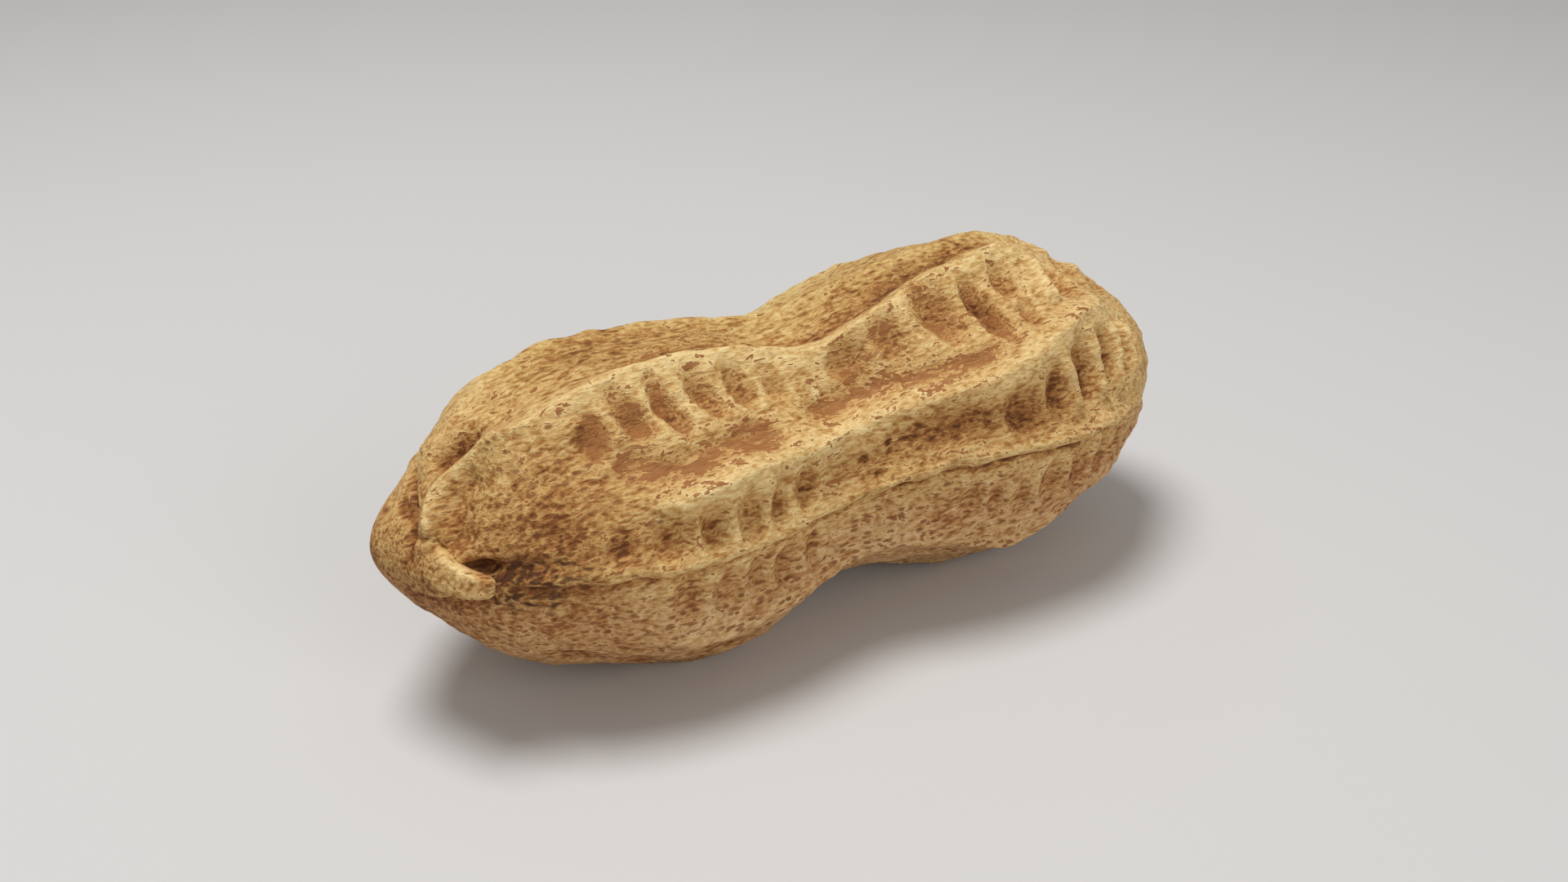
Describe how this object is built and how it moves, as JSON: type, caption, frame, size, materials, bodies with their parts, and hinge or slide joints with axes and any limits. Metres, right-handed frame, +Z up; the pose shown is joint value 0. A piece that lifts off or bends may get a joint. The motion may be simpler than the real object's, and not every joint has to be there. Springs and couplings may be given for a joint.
{
  "type": "peanut in its shell",
  "caption": "Dried peanut pod lying on its side, with swollen lobes, a waist, veins along its length and a hooked beak at one end.",
  "frame": {"origin": "middle of the pod's length and width, on the surface it rests on", "axes": "+X along the pod from the beak end to the stalk end, +Z up, -Y the side the beak hooks to"},
  "size_m": [0.0394, 0.016, 0.0152],
  "materials": {
    "shell": "dry matt straw-coloured fibrous shell"
  },
  "bodies": {
    "root": {"pod": "shell"}
  },
  "joints": []
}
